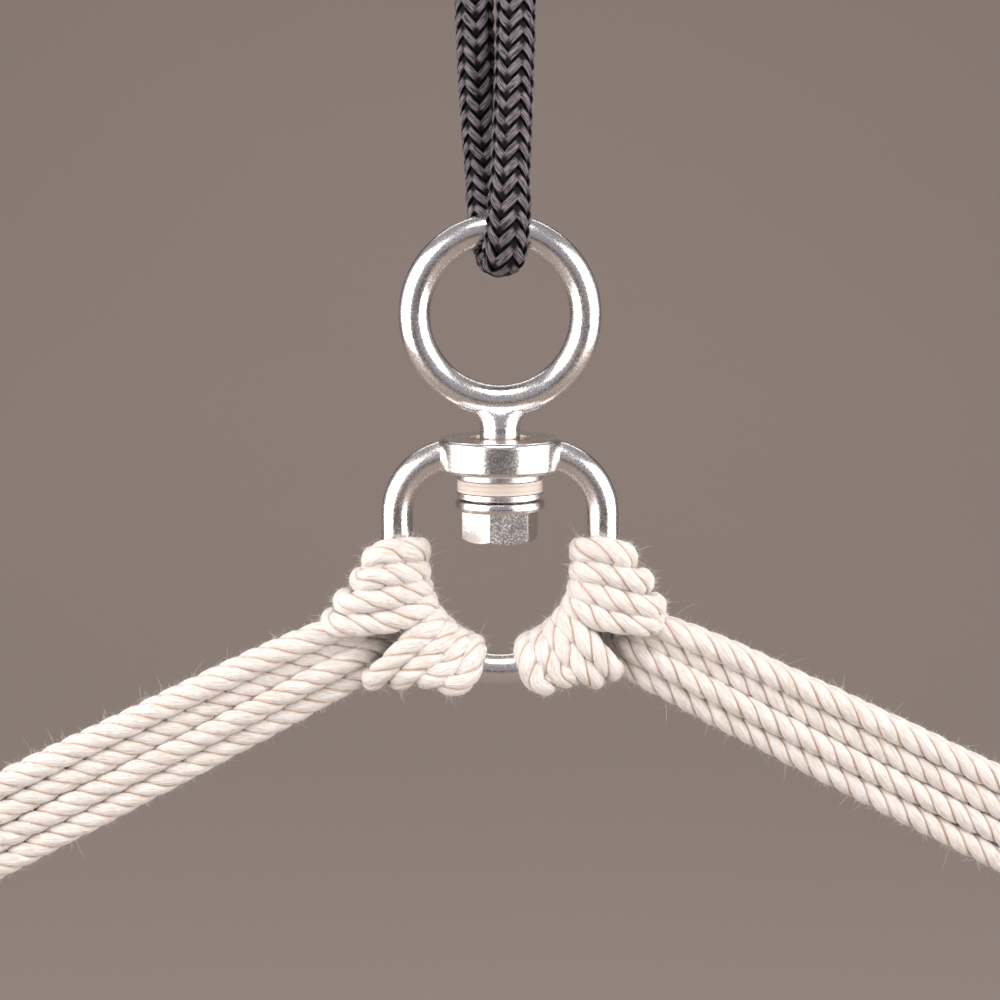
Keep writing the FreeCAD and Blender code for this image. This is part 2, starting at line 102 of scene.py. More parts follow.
class RopeSizes(bpy.types.PropertyGroup):
    """Thickness and lay of every rope."""

    strop: length_setting("Strop", "Thickness of a cotton strop", 5.8)
    strop_lay: length_setting("Strop lay", "One full turn of a strand", 16.8)
    sling: length_setting("Sling", "Thickness of the braided sling", 10)
    sling_lay: length_setting("Braid lay", "One full turn of a carrier", 32)
    twine: length_setting("Twine", "Thickness of the whipping twine", 1.4)
    loose_fibres: IntProperty(
        name="Loose fibres",
        description="Sets how many fibres stand off the strops",
        default=8400,
        min=0,
    )


class Finishes(bpy.types.PropertyGroup):
    """Colours of the materials."""

    cotton: colour_setting("Cotton", "Face of a strand", (0.93, 0.88, 0.835))
    # Painted shade between the strands, tinted tan like light bounced in the grooves.
    cotton_painted_shade: colour_setting("Cotton, deep", "Between strands", (0.74, 0.54, 0.41))
    twine: colour_setting("Twine", "Cotton twine", (0.78, 0.68, 0.56))
    # The yarn is black; this lighter crown colour is painted sheen.
    braid: colour_setting("Braid", "Crown of a carrier", (0.22, 0.19, 0.215))
    steel: colour_setting("Steel", "Stainless steel", (0.83, 0.81, 0.8))
    cage: colour_setting("Cage", "Plastic of the ball cage", (0.74, 0.64, 0.57))
    bronze: colour_setting("Bronze", "Bush in the collar", (0.44, 0.3, 0.17))
    backdrop: colour_setting("Backdrop", "Pale floor and wall", (0.265, 0.215, 0.185))


# ---------------------------------------------------------------- lines


# Space between the points of a line, in millimetres.
LINE_STEP = 0.8


def unit(vectors):
    """Vectors cut or stretched to length 1."""
    return vectors / np.maximum(np.linalg.norm(vectors, axis=-1, keepdims=True), 1e-12)


def length_along(line):
    """How far along a line each of its points is."""
    return np.concatenate(([0], np.cumsum(np.linalg.norm(np.diff(line, axis=0), axis=1))))


def ease(value, low, high):
    """Smooth step from 0 at low to 1 at high."""
    share = np.clip((value - low) / (high - low), 0, 1)
    return share * share * (3 - 2 * share)


def spline_points(route):
    """Evenly spaced points, in metres, along the smooth spline of a route in millimetres."""
    curve = bpy.data.curves.new("route", "CURVE")
    curve.dimensions = "3D"
    curve.resolution_u = 24
    spline = curve.splines.new("NURBS")
    spline.points.add(len(route) - 1)
    for point, place in zip(spline.points, route):
        point.co = (*[value * MM for value in place], 1)
    spline.order_u = 3
    spline.use_endpoint_u = True
    holder = bpy.data.objects.new("route", curve)
    mesh = bpy.data.meshes.new_from_object(holder)
    line = np.array([vertex.co for vertex in mesh.vertices])
    bpy.data.objects.remove(holder)
    bpy.data.curves.remove(curve)
    bpy.data.meshes.remove(mesh)
    line = line[np.concatenate(([True], np.diff(length_along(line)) > 1e-9))]
    along = length_along(line)
    stations = np.linspace(0, along[-1], int(round(along[-1] / (LINE_STEP * MM))) + 1)
    return np.column_stack([np.interp(stations, along, line[:, i]) for i in range(3)])


def cross_directions(line):
    """Two directions across a line at each point, carried along it without twist."""
    tangents = unit(np.gradient(line, axis=0))
    first = np.cross(tangents[0], (0.3, 0.9, 0.2))
    across = np.empty_like(line)
    for i, tangent in enumerate(tangents):
        first = first - tangent * np.dot(first, tangent)
        first = first / np.linalg.norm(first)
        across[i] = first
    return across, np.cross(tangents, across)


def squeeze(offsets, push, weight, thin, wide):
    """Flatten offsets from a rope's line against what it is wound on.

    push is the direction away from the core, weight says how firmly it is pressed."""
    amount = np.einsum("rsk,rk->rs", offsets, push)[..., None] * push[:, None, :]
    flat = amount * thin + (offsets - amount) * wide
    share = weight[:, None, None]
    return offsets * (1 - share) + flat * share


# ---------------------------------------------------------------- meshes


def in_scene(name, data):
    """A new object of a mesh, lamp or camera, in the scene."""
    made = bpy.data.objects.new(name, data)
    bpy.context.scene.collection.objects.link(made)
    return made


def tube_mesh(name, tubes, hollows):
    """One mesh of closed tubes. A tube is an array of rings of points.

    The UV map holds centimetres along the tube and round it. hollow is 0 on a strand's crown and
    1 deep between strands, and the materials paint shade by it."""
    points = np.concatenate([tube.reshape(-1, 3) for tube in tubes])
    faces = []
    uvs = []
    base = 0
    for number, tube in enumerate(tubes):
        rings, sides = tube.shape[:2]
        i = np.arange(rings - 1)[:, None]
        j = np.arange(sides)[None, :]
        after = (j + 1) % sides
        quads = [i * sides + j, i * sides + after, (i + 1) * sides + after, (i + 1) * sides + j]
        faces.extend((np.stack(quads, axis=-1).reshape(-1, 4) + base).tolist())
        along = length_along(tube.mean(axis=1)) * 100
        closed = np.vstack((tube[0], tube[0][:1]))
        around = length_along(closed) * 100 + number * 3.7
        corners = [
            (along[:-1], around[:-1]),
            (along[:-1], around[1:]),
            (along[1:], around[1:]),
            (along[1:], around[:-1]),
        ]
        grids = [np.stack(np.meshgrid(u, v, indexing="ij"), axis=-1) for u, v in corners]
        uvs.append(np.stack(grids, axis=2).reshape(-1, 2))
        faces.append([base + k for k in range(sides)][::-1])
        faces.append([base + (rings - 1) * sides + k for k in range(sides)])
        uvs.append(np.zeros((2 * sides, 2)))
        base += rings * sides
    mesh = bpy.data.meshes.new(name)
    mesh.from_pydata(points.tolist(), [], faces)
    layer = mesh.uv_layers.new(name="UVMap")
    layer.data.foreach_set("uv", np.concatenate(uvs).astype(np.float32).ravel())
    depth = np.concatenate([hollow.reshape(-1) for hollow in hollows]).astype(np.float32)
    mesh.attributes.new("hollow", "FLOAT", "POINT").data.foreach_set("value", depth)
    mesh.shade_smooth()
    return in_scene(name, mesh)


def plain_tube(line, radius, sides):
    """A round tube along a line, as rings of points, with its hollow values."""
    across, up = cross_directions(line)
    around = np.arange(sides) / sides * 2 * math.pi
    circle = (
        np.cos(around)[None, :, None] * across[:, None, :]
        + np.sin(around)[None, :, None] * up[:, None, :]
    )
    return line[:, None, :] + circle * radius, np.zeros((len(line), sides))


# A strand's centre and half sizes, in thicknesses of its rope, and how thin and how wide it gets
# where it is pressed on the wire.
STRANDS = 3
STRAND_CENTRE = 0.267
STRAND_HALF_DEEP = 0.268
STRAND_HALF_WIDE = 0.305
STRAND_SIDES = 14
STRAND_PRESSED = (0.78, 1.1)


def laid_strands(line, thickness, lay, shift, push, weight, seed):
    """Three strands laid right-handed along a line, and how deep each of their points lies."""
    rng = np.random.default_rng(seed)
    across, up = cross_directions(line)
    along = length_along(line)
    centre = thickness * STRAND_CENTRE
    radial_half = thickness * STRAND_HALF_DEEP
    slope = math.hypot(1, 2 * math.pi * centre / lay)
    tangential_half = thickness * STRAND_HALF_WIDE * slope
    around = np.arange(STRAND_SIDES) / STRAND_SIDES * 2 * math.pi + math.pi
    wave = np.cumsum(rng.normal(0, 1, len(line)))
    wave -= np.linspace(wave[0], wave[-1], len(line))
    wobble = wave / (np.abs(wave).max() + 1e-9) * 0.5
    tubes = []
    hollows = []
    for number in range(STRANDS):
        turn = along / lay * 2 * math.pi + number * 2 * math.pi / STRANDS + shift + wobble
        outward = np.cos(turn)[:, None] * across + np.sin(turn)[:, None] * up
        sideways = -np.sin(turn)[:, None] * across + np.cos(turn)[:, None] * up
        start = rng.uniform(0, 6.28)
        swell = 1 + 0.045 * np.sin(along / lay * 4.4 + start)
        swell += 0.02 * np.sin(along / lay * 17 + start)
        radial = centre + radial_half * np.cos(around)[None, :] * swell[:, None]
        tangential = tangential_half * np.sin(around)[None, :] * swell[:, None]
        offsets = radial[..., None] * outward[:, None, :]
        offsets = offsets + tangential[..., None] * sideways[:, None, :]
        offsets = squeeze(offsets, push, weight, *STRAND_PRESSED)
        tubes.append(line[:, None, :] + offsets)
        # hollow masks the painted shade between strands: 0 on the crown, 1 deep in the groove.
        reach = np.hypot(radial, tangential) / (centre + radial_half)
        hollows.append(np.clip((0.97 - reach) / 0.2, 0, 1))
    return tubes, hollows


# Carriers each way, the share of the way round that they cover, the braid's sizes in thicknesses
# of the rope, and how thin and how wide it gets where it is pressed on the ring.
CARRIERS = 8
BRAID_RADIUS = 0.392
BRAID_WAVE = 0.05
CARRIER_COVER = 0.88
CARRIER_THICK = 0.05
CARRIER_RIDGE = 0.014
CARRIER_UNDERSIDE = -0.024
CORE_RADIUS = 0.335
CORE_SIDES = 14
BRAID_PRESSED = (0.84, 1.13)


def carrier_section():
    """A carrier's points from side to side: where each is, how high it lies, and how far out.

    The top has three yarns, and the last two points are the underside's."""
    top = np.linspace(-1, 1, 12)
    ridge = np.abs(np.sin((top + 1) * 1.5 * math.pi))
    crown = np.sqrt(np.clip(1 - (top * 0.97) ** 2, 0, 1))
    height = crown * (CARRIER_THICK + CARRIER_RIDGE * ridge)
    side = np.concatenate((top, [0.6, -0.6]))
    lift = np.concatenate((height, [CARRIER_UNDERSIDE, CARRIER_UNDERSIDE]))
    # edge paints shade on the carrier's sides, and fully on its underside.
    edge = np.concatenate((np.abs(top), [1, 1])) ** 5
    return side[None, ::-1], lift[None, ::-1], edge[None, ::-1]


def carried_braid(line, thickness, lay, push, weight):
    """Sixteen carriers, eight each way, that pass over two and under two, round a core painted in
    shade.
    """
    across, up = cross_directions(line)
    along = length_along(line)
    radius = thickness * BRAID_RADIUS
    side, lift, edge = carrier_section()
    lean = side * (math.pi / CARRIERS * CARRIER_COVER)
    tubes = []
    hollows = []
    for way in (1, -1):
        for number in range(CARRIERS):
            turn = way * along / lay * 2 * math.pi + number * 2 * math.pi / CARRIERS
            angle = turn[:, None] + lean
            over = -way * np.cos(4 * turn[:, None] + 2 * lean)
            over = np.sign(over) * np.abs(over) ** 0.8
            reach = radius + thickness * (BRAID_WAVE * over + lift)
            outward = (
                np.cos(angle)[..., None] * across[:, None, :]
                + np.sin(angle)[..., None] * up[:, None, :]
            )
            offsets = squeeze(reach[..., None] * outward, push, weight, *BRAID_PRESSED)
            tubes.append(line[:, None, :] + offsets)
            # Painted shade where the carrier dives under the others and along its edges.
            hollows.append(np.maximum((1 - over) / 2, np.broadcast_to(edge, over.shape)))
    # The core is painted all in shade, so the gaps between carriers show black.
    core, _ = plain_tube(line, thickness * CORE_RADIUS, CORE_SIDES)
    offsets = squeeze(core - line[:, None, :], push, weight, *BRAID_PRESSED)
    tubes.append(line[:, None, :] + offsets)
    hollows.append(np.ones(offsets.shape[:2]))
    return tubes, hollows


def outward_faces(piece):
    """Turn every closed part of a piece the right way out."""
    select_only(piece)
    bpy.ops.object.mode_set(mode="EDIT")
    bpy.ops.mesh.select_all(action="SELECT")
    bpy.ops.mesh.normals_make_consistent(inside=False)
    bpy.ops.object.mode_set(mode="OBJECT")


# ---------------------------------------------------------------- strops

# The strops' routes along a bundle, the CAD's own points, in millimetres: distance out from the
# bundle's foot, then across the bundle. The first point of each is at the hitch, and only its
# place across is used.
OUTER_STROP = [(20.06, 7.92), (125, 9.15), (143, 9.15), (177.9, 19.8), (192, 0)]
INNER_STROP = [(20.06, 2.64), (125, 3.05), (143, 3.05), (175.5, 12.7), (184.5, 0)]

# Each strop: its route, the depth of its upper leg, of its lower leg and at the whipping, where
# its upper leg and its lower leg enter the hitch, across the bundle, and its place in the
# hitch, counted from the hollow outwards.
STROPS = {
    "strop_1": (OUTER_STROP, -4.3, -1.6, -3.05, (7.1, 4.3), (-7.2, -7.2), 2),
    "strop_2": (INNER_STROP, -1.6, -4.3, -3.05, (2.5, 1.2), (-2.2, -2.9), 0),
    "strop_3": (INNER_STROP, 4.3, 1.6, 3.05, (2.5, 1.2), (-2.2, -2.9), 1),
    "strop_4": (OUTER_STROP, 1.6, 4.3, 3.05, (7.1, 4.3), (-7.2, -7.2), 3),
}

# Each side's turns, from the hollow outwards: where the upper wrap sits along the wire, its outer
# turn (out from the swivel's axis, up from the ring's centre), how far out along the bundle the
# bridge crosses behind it, where the lower wrap sits along the wire, and its outer turn.
HITCHES = {
    "left": [
        (17.3, (42.2, -77.2), 21.0, 23.5, (32.2, -91.4)),
        (11.7, (39.0, -71.8), 16.5, 28.8, (25.8, -91.0)),
        (6.0, (34.8, -66.4), 12.0, 33.9, (19.8, -90.4)),
        (0.4, (32.3, -61.4), 7.5, 38.8, (13.8, -92.0)),
    ],
    "right": [
        (17.3, (38.8, -77.0), 19.0, 23.5, (28.4, -89.0)),
        (11.7, (38.9, -73.0), 15.0, 28.8, (24.2, -90.8)),
        (6.0, (35.8, -66.8), 11.0, 33.9, (18.4, -90.2)),
        (0.4, (31.9, -60.4), 7.5, 38.8, (12.4, -91.8)),
    ],
}
SIDE = {"left": -1, "right": 1}

# Where a bundle's middle line meets the bow, and how steeply it falls, in degrees.
BUNDLE_FOOT = (21.6, -75.5)
DROOP = {"left": 27.1, "right": 26.4}

# The bow's wire: its radius, the height where its legs turn into its round arc, the height where
# the hitch begins, how far along the wire the hitch's hollow is from there, and how far the
# middle of a wrapped rope is from the middle of the wire.
WIRE_RADIUS = 4
ARC_TOP = -64
HITCH_TOP = -57.5
HOLLOW = 20.4
WRAP = WIRE_RADIUS + 2.2

# Out along the bundle: the two ends of a strop's line inside the whipping, the point that keeps
# the long leg straight, and the two points where a leg enters the hitch.
ROUTE_START = 133.5
ROUTE_END = 134.5
STRAIGHT = 55
ENTRY = (24, 13)

# Half the height of the bridge and how far behind the bundle it is, how far an outer turn is
# in front of the bundle's middle and behind it, and the distances from the middle of the wire
# within which a rope is pressed flat on it: fully up to the first, not at all past the second.
BRIDGE_HALF = 5
BRIDGE_DEPTH = 10.2
TURN_DEPTH = 7.0
PRESSED_WITHIN = (7.2, 9.5)


def wire_at(along):
    """Point of the bow's wire, that far below the hitch's top, and the way out from the bow."""
    half = BOW_HALF - WIRE_RADIUS
    beyond = along - (HITCH_TOP - ARC_TOP)
    if beyond < 0:
        return np.array((half, HITCH_TOP - along)), np.array((1.0, 0.0))
    angle = beyond / half
    outward = np.array((math.cos(angle), -math.sin(angle)))
    return np.array((0, ARC_TOP)) + outward * half, outward


def round_wire(along, out, back):
    """A point beside the wire: out from the bow and back from the front, in wrap radii."""
    point, outward = wire_at(along)
    x, z = point + outward * out * WRAP
    return (x, back * WRAP, z)


def in_bundle(side, out, across, depth):
    """A point of the bundle: out along it, across its rows and in depth."""
    angle = math.radians(DROOP[side])
    x = BUNDLE_FOOT[0] + out * math.cos(angle) + across * math.sin(angle)
    z = BUNDLE_FOOT[1] - out * math.sin(angle) + across * math.cos(angle)
    return (x, depth, z)


def wrap_points(wrap, turn):
    """From the hollow, behind the wire, over its inner side and the front, to the outer turn."""
    entry = (wrap + HOLLOW) / 2
    x, z = turn
    return [
        round_wire(entry, 0.9, 1.05),
        round_wire(wrap * 0.75 + entry * 0.25, -1.0, 1.0),
        round_wire(wrap, -1.0, -1.0),
        round_wire(wrap, 0.5, -1.2),
        (x, -TURN_DEPTH, z),
        (x, TURN_DEPTH, z),
    ]


def leg_points(side, across, depth, strop, entry, entry_depth):
    """From the middle of the whipping in to the hitch."""
    straight = math.copysign(strop[0][1] * 1.03, across)
    return [
        in_bundle(side, ROUTE_START, across, depth),
        in_bundle(side, strop[1][0], across, depth),
        in_bundle(side, STRAIGHT, straight, depth * 0.5 + entry_depth * 0.5),
        in_bundle(side, ENTRY[0], entry[0], entry_depth),
        in_bundle(side, ENTRY[1], entry[1], entry_depth * 0.5 + 1.6),
    ]


def strop_route(side, name):
    """The whole line of one endless strop, from inside the whipping back to it."""
    strop, upper_depth, lower_depth, depth, upper_entry, lower_entry, place = STROPS[name]
    upper, turn_up, bridge, lower, turn_low = HITCHES[side][place]
    across = strop[1][1]
    route = leg_points(side, across, depth, strop, upper_entry, upper_depth)
    route += wrap_points(upper, turn_up)
    route.append(in_bundle(side, bridge, BRIDGE_HALF, BRIDGE_DEPTH))
    route.append(in_bundle(side, bridge, -BRIDGE_HALF, BRIDGE_DEPTH))
    route += wrap_points(lower, turn_low)[::-1]
    route += leg_points(side, -across, depth, strop, lower_entry, lower_depth)[:0:-1]
    for out, offset in strop[2:]:
        route.append(in_bundle(side, out, -offset, depth))
    for out, offset in strop[3:1:-1]:
        route.append(in_bundle(side, out, offset, depth))
    route.append(in_bundle(side, ROUTE_END, across, depth))
    return [(SIDE[side] * x, y, z + RING_Z) for x, y, z in route]


def away_from_bow(line):
    """Direction and distance, in metres, of each point from the nearer half of the bow's wire."""
    half = (BOW_HALF - WIRE_RADIUS) * MM
    flat = line[:, [0, 2]] - np.array((0, (RING_Z + ARC_TOP) * MM))
    on_leg = flat[:, 1] > 0
    nearest = unit(flat) * half
    nearest[on_leg] = np.column_stack((np.sign(flat[on_leg, 0]) * half, flat[on_leg, 1]))
    away = np.column_stack((flat[:, 0] - nearest[:, 0], line[:, 1], flat[:, 1] - nearest[:, 1]))
    return unit(away), np.linalg.norm(away, axis=1)


def make_strop(side, name, ropes, material, seed):
    """One endless three-strand strop, from the eye to the hitch and back."""
    line = spline_points(strop_route(side, name))
    push, distance = away_from_bow(line)
    weight = 1 - ease(distance, *[limit * MM for limit in PRESSED_WITHIN])
    strands = laid_strands(line, ropes.strop, ropes.strop_lay, seed * 1.7, push, weight, seed)
    piece = tube_mesh(f"{side}_{name}_rope", *strands)
    piece.data.materials.append(material)
    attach(piece, "bow")
    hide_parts(f"{side}_{name}", f"{side}_hitch")
    float(length_along(line)[-1])


def hair_mesh(name, roots, headings, bends, thickness, segments):
    """One mesh of fine three-sided hairs that taper to a point."""
    across = unit(np.cross(headings, np.roll(headings, 1, axis=1) + 0.01))
    up = np.cross(unit(headings), across)
    share = np.append(np.arange(segments), segments)[None, :, None] / segments
    centre = roots[:, None] + headings[:, None] * share + bends[:, None] * share**2
    corners = []
    for corner in range(3):
        angle = corner * 2 * math.pi / 3
        spread_out = math.cos(angle) * across + math.sin(angle) * up
        taper = thickness / 2 * (1 - 0.6 * share[:, :-1])
        corners.append(centre[:, :-1] + spread_out[:, None] * taper)
    rings = np.stack(corners, axis=2).reshape(len(roots), -1, 3)
    points = np.concatenate((rings, centre[:, -1:]), axis=1)
    tip = segments * 3
    pattern = [[0, 2, 1]]
    for ring in range(0, tip, 3):
        for corner in range(3):
            after = (corner + 1) % 3
            if ring + 3 < tip:
                pattern.append([ring + corner, ring + after, ring + 3 + after, ring + 3 + corner])
            else:
                pattern.append([ring + corner, ring + after, tip])
    faces = []
    for base in range(0, len(roots) * (tip + 1), tip + 1):
        faces.extend([base + corner for corner in face] for face in pattern)
    mesh = bpy.data.meshes.new(name)
    mesh.from_pydata(points.reshape(-1, 3).tolist(), [], faces)
    mesh.shade_smooth()
    return in_scene(name, mesh)


def strop_surface(side):
    """Places and normals all over the crowns of one side's strops."""
    places = []
    normals = []
    for name in STROPS:
        mesh = bpy.data.objects[f"{side}_{name}_rope"].data
        count = len(mesh.vertices)
        place = np.empty(count * 3, np.float32)
        mesh.vertices.foreach_get("co", place)
        normal = np.empty(count * 3, np.float32)
        mesh.vertex_normals.foreach_get("vector", normal)
        depth = np.empty(count, np.float32)
        mesh.attributes["hollow"].data.foreach_get("value", depth)
        crowns = depth <= 0.4
        places.append(place.reshape(-1, 3)[crowns])
        normals.append(normal.reshape(-1, 3)[crowns])
    return np.concatenate(places).astype(float), np.concatenate(normals).astype(float)


# Fuzz and hairs: how many to each loose fibre, shortest, longest, how upright, how curly, and
# in how many segments.
FIBRES = {
    "fuzz_low": (2, 0.5, 1.4, 0.7, 1.0, 2),
    "fuzz_high": (2, 0.5, 1.9, 0.8, 1.0, 2),
    "hairs": (1 / 3, 1.5, 3.8, 0.6, 1.4, 5),
}
FIBRE_SEEDS = {"left": 77, "right": 78}
FIBRE_THICKNESS = 0.065


def make_loose_fibres(side, ropes, material):
    """Short fuzz all over one side's strops, and fewer long curved hairs."""
    rng = np.random.default_rng(FIBRE_SEEDS[side])
    places, normals = strop_surface(side)
    for kind, (many, short, long, stand, curl, segments) in FIBRES.items():
        count = round(ropes.loose_fibres * many)
        chosen = rng.choice(len(places), count, replace=True)
        jitter = rng.normal(0, 0.25, (count, 3)) * MM
        length = rng.uniform(short, long, (count, 1)) * MM
        heading = unit(normals[chosen] * stand + unit(rng.normal(0, 1, (count, 3))) * 0.8) * length
        bend = unit(rng.normal(0, 1, (count, 3))) * length * rng.uniform(0.1, curl, (count, 1))
        roots = places[chosen] + jitter - normals[chosen] * 0.15 * MM
        thickness = FIBRE_THICKNESS * MM
        piece = hair_mesh(f"{side}_{kind}", roots, heading, bend, thickness, segments)
        piece.data.materials.append(material)
        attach(piece, "bow")


# ---------------------------------------------------------------- sling

# Route of the sling from the sleeve round the ring, back up, round the hook and down again, in
# millimetres from the ring's centre: the CAD's points, with the four between the sleeve and the
# ring moved by about 2 mm, since the braid is pressed flat on the ring.
SLING_ROUTE = [
    (-6.6, 0, 92.5),
    (-6.6, 0, 79.5),
    (-4.9, 6.4, 42),
    (-1.5, 9.1, 13.5),
    (1.5, -9.1, 13.5),
    (2.9, -6.4, 42),
    (4.2, 0, 79.5),
    (4.2, 0, 106),
    (14.6, 0, 129.3),
    (1.0, 0, 140.9),
    (-14.0, 0, 131.2),
    (-6.6, 0, 106),
    (-6.6, 0, 93.5),
]
SLING_PRESSED_WITHIN = (9, 15)


def make_sling_braid(ropes, material):
    """The endless braided sling, pressed flat where it goes round the ring."""
    route = [(x, y, z + RING_Z) for x, y, z in SLING_ROUTE]
    line = spline_points(route)
    wire = np.array((0, (RING_Z + RING_RADIUS - WIRE_RADIUS) * MM))
    away = np.column_stack((np.zeros(len(line)), line[:, 1:] - wire))
    limits = [limit * MM for limit in SLING_PRESSED_WITHIN]
    weight = 1 - ease(np.linalg.norm(away, axis=1), *limits)
    carriers = carried_braid(line, ropes.sling, ropes.sling_lay, unit(away), weight)
    piece = tube_mesh("sling_braid", *carriers)
    outward_faces(piece)
    piece.data.materials.append(material)
    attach(piece, "sling")
    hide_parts("sling_rope")
    float(length_along(line)[-1])


# The outlines of twine round the sling and round a bundle: half width, half depth and round
# corner. The sling's legs stand a little left of the swivel's axis.
BINDING_OUTLINE = (11.35, 5.9, 4.0)
BINDING_SHIFT = -1.2
WHIPPING_OUTLINE = (12.9, 6.8, 2.9)

# Where a whipping begins and ends, out along the bundle.
WHIPPING = (125.2, 140.8)

# Radius of drawn twine in thicknesses: a little over half, so that the turns touch.
TWINE_RADIUS = 0.54
TWINE_SIDES = 8


def wound_twine(name, outline, low, high, thickness, place, material):
    """Twine wound side by side round an outline, from low to high. place maps to the object."""
    radius = thickness / 2 / MM
    turns = int((high - low) / (2 * radius))
    route = []
    for step in range(turns * len(outline) + 1):
        x, y = outline[step % len(outline)]
        height = low + radius + (high - low - 2 * radius) * step / (turns * len(outline))
        route.append(place(x, y, height))
    line = spline_points(route)
    tube, hollow = plain_tube(line, thickness * TWINE_RADIUS, TWINE_SIDES)
    piece = tube_mesh(name, [tube], [hollow])
    outward_faces(piece)
    piece.data.materials.append(material)
    return piece


def rounded_outline(half_wide, half_deep, corner):
    """Twelve route points round a rectangle with round corners."""
    flat = half_wide - corner
    short = half_deep - corner
    half = [(half_wide, -short), (half_wide, short)]
    half += [(flat * share, half_deep) for share in (1, 0.34, -0.34, -1)]
    return half + [(-x, -y) for x, y in half]


def make_binding(ropes, material):
    """Black twine wound tightly round both legs of the sling."""

    def place(x, y, z):
        return (x + BINDING_SHIFT, y, z)

    outline = rounded_outline(*BINDING_OUTLINE)
    piece = wound_twine("sling_binding", outline, *SLEEVE, ropes.twine, place, material)
    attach(piece, "sling")
    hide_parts("sling_sleeve")



def make_whipping(side, ropes, material):
    """Cotton twine wound tightly round the bundle, just before its eye."""

    def place(across, depth, out):
        x, y, z = in_bundle(side, out, across, depth)
        return (SIDE[side] * x, y, z + RING_Z)

    outline = rounded_outline(*WHIPPING_OUTLINE)
    piece = wound_twine(f"{side}_twine", outline, *WHIPPING, ropes.twine, place, material)
    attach(piece, "bow")
    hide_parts(f"{side}_whipping")


# ---------------------------------------------------------------- turned and cut pieces


def select_only(piece):
    """Leave one piece selected and active, in object mode."""
    if bpy.context.mode != "OBJECT":
        bpy.ops.object.mode_set(mode="OBJECT")
    bpy.ops.object.select_all(action="DESELECT")
    piece.select_set(True)
    bpy.context.view_layer.objects.active = piece


# The bearing: its balls and the radius of the circle that they run on, the radii of the races'
# grooves, of the cage's pockets and of the bores, and the two fine lines round the cage.
BALLS = 10
BALL_CIRCLE = 8
GROOVE_RADIUS = 2.05
POCKET_RADIUS = 2.08
RACE_BORE = 5.3
CAGE_BORE = 5.35
CAGE_LINE_HALF = 0.14
CAGE_LINE_DEPTH = 0.16

# The nut: the radius of its bore, its width across the flats, and how far one corner of the
# hexagon points back from the right, in degrees.
NUT_BORE = 5.15
ACROSS_FLATS = 17
NUT_CORNER = 15.2

TURNED_SIDES = 160


def turned(name, outline):
    """A ring turned about the swivel's axis from its outline of (radius, height) points."""
    bpy.ops.object.select_all(action="DESELECT")
    radius, height = outline[0]
    bpy.ops.mesh.primitive_circle_add(
        vertices=TURNED_SIDES, radius=radius * MM, location=(0, 0, height * MM)
    )
    piece = bpy.context.object
    piece.name = name
    bpy.ops.object.transform_apply(location=True, rotation=True, scale=True)
    bpy.ops.object.mode_set(mode="EDIT")
    bpy.ops.mesh.select_all(action="SELECT")
    for next_radius, next_height in outline[1:] + outline[:1]:
        rise = (next_height - height) * MM
        bpy.ops.mesh.extrude_region_move(TRANSFORM_OT_translate={"value": (0, 0, rise)})
        share = next_radius / radius
        bpy.ops.transform.resize(value=(share, share, 1), center_override=(0, 0, 0))
        radius, height = next_radius, next_height
    bpy.ops.mesh.select_all(action="SELECT")
    bpy.ops.mesh.remove_doubles(threshold=0.000002)
    bpy.ops.mesh.normals_make_consistent(inside=False)
    bpy.ops.object.mode_set(mode="OBJECT")
    return piece


def soften(piece, width):
    """Round a hard piece's edges and shade it smooth between them."""
    select_only(piece)
    bpy.ops.object.shade_smooth_by_angle(angle=math.radians(40))
    bevel = piece.modifiers.new("edges", "BEVEL")
    bevel.width = width * MM
    bevel.segments = 3
    bevel.limit_method = "ANGLE"
    bevel.angle_limit = math.radians(25)
    bevel.harden_normals = True
    bpy.ops.object.modifier_apply(modifier=bevel.name)


def combine(piece, cutter, operation):
    """Cut a piece with a second one, or keep what both share, and drop the second."""
    select_only(piece)
    modifier = piece.modifiers.new("cut", "BOOLEAN")
    modifier.operation = operation
    modifier.solver = "EXACT"
    modifier.object = cutter
    bpy.ops.object.modifier_apply(modifier=modifier.name)
    bpy.data.objects.remove(cutter)


def groove(face, ball_height):
    """Outline points of a ball groove in a race's face, from the outside in."""
    points = []
    widest = math.acos(abs(face - ball_height) / GROOVE_RADIUS)
    reach = math.copysign(GROOVE_RADIUS, face - ball_height)
    for step in range(9):
        angle = widest * (1 - step / 4)
        radius = BALL_CIRCLE + GROOVE_RADIUS * math.sin(angle)
        points.append((radius, ball_height + reach * math.cos(angle)))
    return points


def make_races(material):
    """The two grooved races of the thrust bearing."""
    ball_height = (UPPER_RACE[0] + LOWER_RACE[1]) / 2
    for name, body, plain, face in (
        ("upper", "bow", UPPER_RACE[1], UPPER_RACE[0]),
        ("lower", "eye", LOWER_RACE[0], LOWER_RACE[1]),
    ):
        outline = [(RACE_BORE, plain), (RACE_RADIUS, plain), (RACE_RADIUS, face)]
        outline += groove(face, ball_height) + [(RACE_BORE, face)]
        piece = turned(f"{name}_race_ring", outline)
        soften(piece, 0.22)
        piece.data.materials.append(material)
        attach(piece, body)
        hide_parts(f"bearing_{name}_race")


def pocket_cutter(angle, height):
    """A cylinder that cuts one ball's pocket."""
    reach = BALL_CIRCLE * MM
    bpy.ops.object.select_all(action="DESELECT")
    bpy.ops.mesh.primitive_cylinder_add(
        vertices=32,
        radius=POCKET_RADIUS * MM,
        depth=6 * MM,
        location=(reach * math.cos(angle), reach * math.sin(angle), height * MM),
    )
    return bpy.context.object


